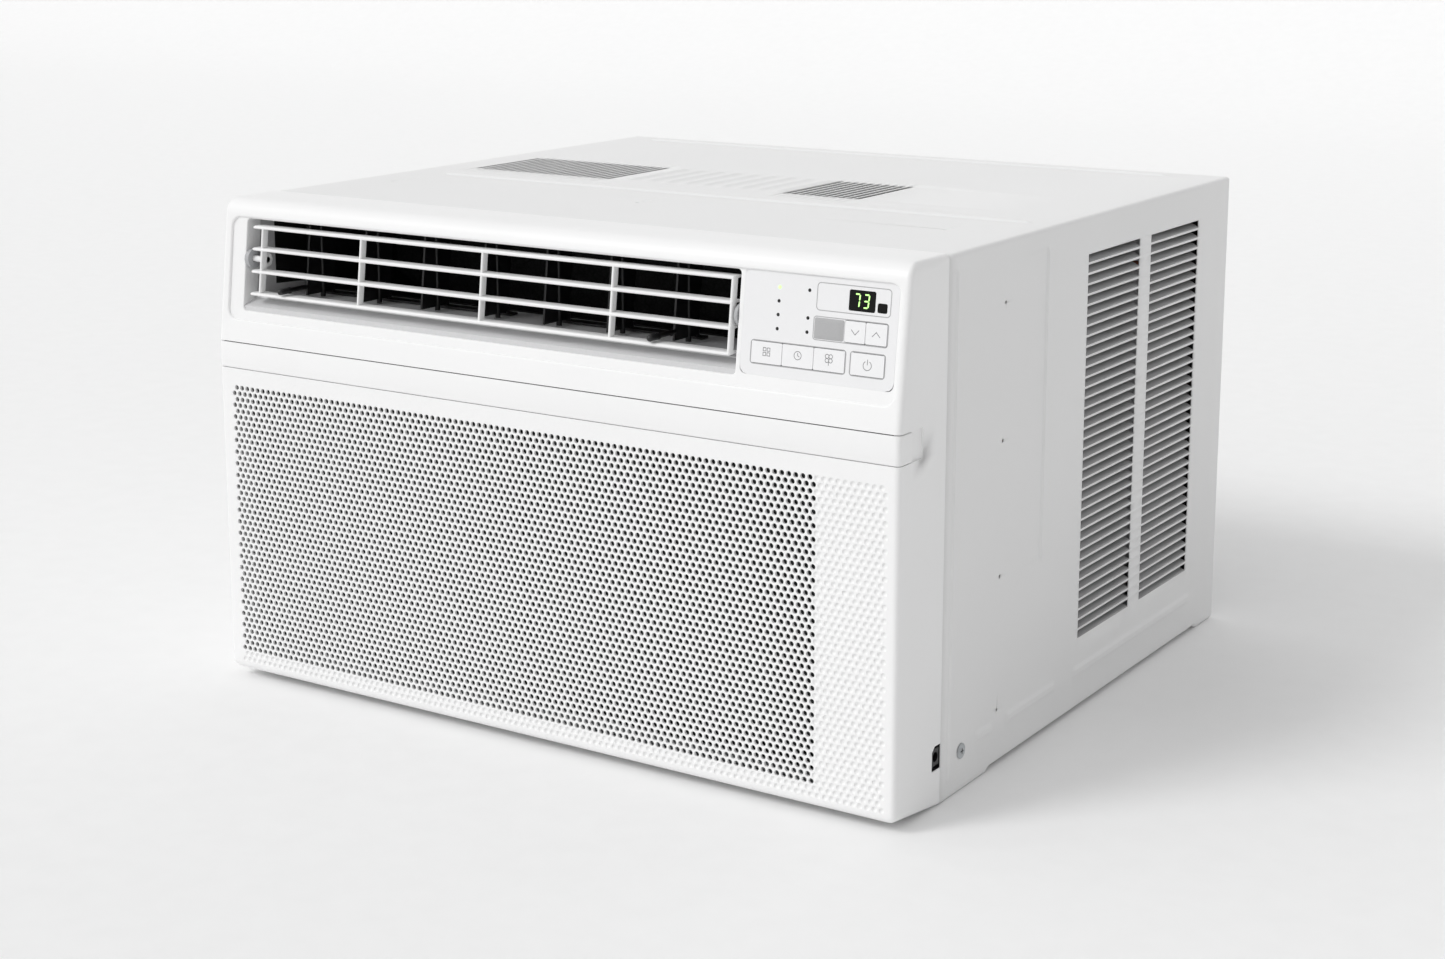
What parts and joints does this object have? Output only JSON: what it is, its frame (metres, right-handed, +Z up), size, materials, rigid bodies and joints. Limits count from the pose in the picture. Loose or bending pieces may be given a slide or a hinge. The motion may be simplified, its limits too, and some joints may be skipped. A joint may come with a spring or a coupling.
{
  "type": "window air conditioner",
  "caption": "Window air conditioner with a slide-out chassis, louvred steel cabinet, perforated intake face, tilting outlet grid, steering vanes, pull-out filter and a key panel.",
  "frame": {"origin": "on the ground, under the middle of the outer box", "axes": "+X across the width towards the key panel's end, +Y from the room face to the outdoor side, +Z up"},
  "size_m": [0.6, 0.563, 0.38],
  "materials": {
    "white_plastic": "fine-grained white moulding",
    "painted_steel": "white powder coat on sheet steel",
    "fascia_plastic": "smooth overlay",
    "key_plastic": "smooth keys with printed signs",
    "dark_plastic": "black moulding",
    "grey_plastic": "grey moulding",
    "black_window": "polished dark acrylic",
    "filter_net": "woven net",
    "zinc_steel": "galvanised sheet",
    "fin_aluminium": "close-set fins",
    "copper": "drawn copper tube",
    "black_enamel": "black enamel",
    "rubber": "moulded rubber",
    "foam": "moulded bead foam",
    "circuit_board": "solder mask"
  },
  "bodies": {
    "cabinet": {"outer_cabinet": "painted_steel", "cabinet_screw_left": "zinc_steel", "cabinet_screw_right": "zinc_steel"},
    "chassis": {"base_pan": "zinc_steel", "drain_plug": "rubber", "front_housing": "white_plastic", "control_panel": "fascia_plastic", "display_window": "black_window", "remote_sensor_window": "black_window", "control_board": "circuit_board", "control_box": "zinc_steel", "run_capacitor": "zinc_steel", "cord_gland": "dark_plastic", "outlet_duct": "white_plastic", "pivot_clip_left": "grey_plastic", "pivot_clip_right": "grey_plastic", "evaporator_coil": "fin_aluminium", "evaporator_end_plate_left": "zinc_steel", "evaporator_end_plate_right": "zinc_steel", "room_temperature_sensor": "copper", "air_guide": "foam", "bulkhead": "zinc_steel", "fan_motor": "zinc_steel", "motor_bracket": "zinc_steel", "fan_shroud": "zinc_steel", "condenser_coil": "fin_aluminium", "condenser_end_plate_left": "zinc_steel", "condenser_end_plate_right": "zinc_steel", "compressor": "black_enamel", "compressor_grommet_1": "rubber", "compressor_grommet_2": "rubber", "compressor_grommet_3": "rubber", "accumulator": "black_enamel", "suction_pipe": "copper", "discharge_pipe": "copper", "capillary_tube": "copper"},
    "fan": {"fan_shaft": "zinc_steel", "blower_wheel": "dark_plastic", "condenser_fan": "dark_plastic"},
    "filter": {"filter_handle": "white_plastic", "filter_frame": "grey_plastic", "filter_mesh": "filter_net"},
    "louvre": {"louvre_grid": "white_plastic"},
    "vane_left_1": {"vane_left_1": "dark_plastic", "air_lever_left": "dark_plastic"},
    "vane_left_2": {"vane_left_2": "dark_plastic"},
    "vane_left_3": {"vane_left_3": "dark_plastic"},
    "vane_left_4": {"vane_left_4": "dark_plastic"},
    "vane_right_1": {"vane_right_1": "dark_plastic"},
    "vane_right_2": {"vane_right_2": "dark_plastic"},
    "vane_right_3": {"vane_right_3": "dark_plastic", "air_lever_right": "dark_plastic"},
    "tie_left": {"tie_bar_left": "dark_plastic"},
    "tie_right": {"tie_bar_right": "dark_plastic"},
    "mode_key": {"mode_button": "key_plastic"},
    "timer_key": {"timer_button": "key_plastic"},
    "fan_speed_key": {"fan_speed_button": "key_plastic"},
    "power_key": {"power_button": "key_plastic"},
    "temp_down_key": {"temp_down_button": "key_plastic"},
    "temp_up_key": {"temp_up_button": "key_plastic"}
  },
  "joints": [
    {"name": "chassis_slide", "type": "slide", "parent": "cabinet", "child": "chassis", "axis": [0, -1, 0], "range_m": [0, 0.25]},
    {"name": "fan_spin", "type": "hinge", "parent": "chassis", "child": "fan", "pos_m": [-0.0525, 0, 0.179], "axis": [0, 1, 0], "continuous": true},
    {"name": "filter_pull", "type": "slide", "parent": "chassis", "child": "filter", "axis": [0, -1, 0], "range_m": [0, 0.02]},
    {"name": "louvre_tilt", "type": "hinge", "parent": "chassis", "child": "louvre", "pos_m": [0, -0.266, 0.334], "axis": [1, 0, 0], "range_deg": [-5, 15]},
    {"name": "vane_left_1_swing", "type": "hinge", "parent": "chassis", "child": "vane_left_1", "pos_m": [-0.2345, -0.232, 0.337], "axis": [0, 0, 1], "range_deg": [-25, 25]},
    {"name": "vane_left_2_swing", "type": "hinge", "parent": "chassis", "child": "vane_left_2", "pos_m": [-0.1776, -0.232, 0.337], "axis": [0, 0, 1], "range_deg": [-25, 25]},
    {"name": "vane_left_3_swing", "type": "hinge", "parent": "chassis", "child": "vane_left_3", "pos_m": [-0.1207, -0.232, 0.337], "axis": [0, 0, 1], "range_deg": [-25, 25]},
    {"name": "vane_left_4_swing", "type": "hinge", "parent": "chassis", "child": "vane_left_4", "pos_m": [-0.0638, -0.232, 0.337], "axis": [0, 0, 1], "range_deg": [-25, 25]},
    {"name": "tie_left_slide", "type": "slide", "parent": "chassis", "child": "tie_left", "axis": [1, 0, 0], "range_m": [-0.0052, 0.0052]},
    {"name": "vane_right_3_swing", "type": "hinge", "parent": "chassis", "child": "vane_right_3", "pos_m": [0.104, -0.232, 0.337], "axis": [0, 0, 1], "range_deg": [-25, 25]},
    {"name": "vane_right_1_swing", "type": "hinge", "parent": "chassis", "child": "vane_right_1", "pos_m": [-0.0079, -0.232, 0.337], "axis": [0, 0, 1], "range_deg": [-25, 25]},
    {"name": "vane_right_2_swing", "type": "hinge", "parent": "chassis", "child": "vane_right_2", "pos_m": [0.048, -0.232, 0.337], "axis": [0, 0, 1], "range_deg": [-25, 25]},
    {"name": "tie_right_slide", "type": "slide", "parent": "chassis", "child": "tie_right", "axis": [1, 0, 0], "range_m": [-0.0052, 0.0052]},
    {"name": "mode_press", "type": "slide", "parent": "chassis", "child": "mode_key", "axis": [0, 0.9929, -0.1193], "range_m": [0, 0.0008], "stiffness_N_per_m": 1500},
    {"name": "timer_press", "type": "slide", "parent": "chassis", "child": "timer_key", "axis": [0, 0.9929, -0.1193], "range_m": [0, 0.0008], "stiffness_N_per_m": 1500},
    {"name": "fan_speed_press", "type": "slide", "parent": "chassis", "child": "fan_speed_key", "axis": [0, 0.9929, -0.1193], "range_m": [0, 0.0008], "stiffness_N_per_m": 1500},
    {"name": "power_press", "type": "slide", "parent": "chassis", "child": "power_key", "axis": [0, 0.9929, -0.1193], "range_m": [0, 0.0008], "stiffness_N_per_m": 1500},
    {"name": "temp_down_press", "type": "slide", "parent": "chassis", "child": "temp_down_key", "axis": [0, 0.9929, -0.1193], "range_m": [0, 0.0008], "stiffness_N_per_m": 1500},
    {"name": "temp_up_press", "type": "slide", "parent": "chassis", "child": "temp_up_key", "axis": [0, 0.9929, -0.1193], "range_m": [0, 0.0008], "stiffness_N_per_m": 1500}
  ],
  "couplings": [
    {"joint": "vane_left_2_swing", "follows": "vane_left_1_swing", "ratio": 1},
    {"joint": "vane_left_3_swing", "follows": "vane_left_1_swing", "ratio": 1},
    {"joint": "vane_left_4_swing", "follows": "vane_left_1_swing", "ratio": 1},
    {"joint": "tie_left_slide", "follows": "vane_left_1_swing", "m_per_rad": -0.01155},
    {"joint": "vane_right_1_swing", "follows": "vane_right_3_swing", "ratio": 1},
    {"joint": "vane_right_2_swing", "follows": "vane_right_3_swing", "ratio": 1},
    {"joint": "tie_right_slide", "follows": "vane_right_3_swing", "m_per_rad": -0.01155}
  ]
}
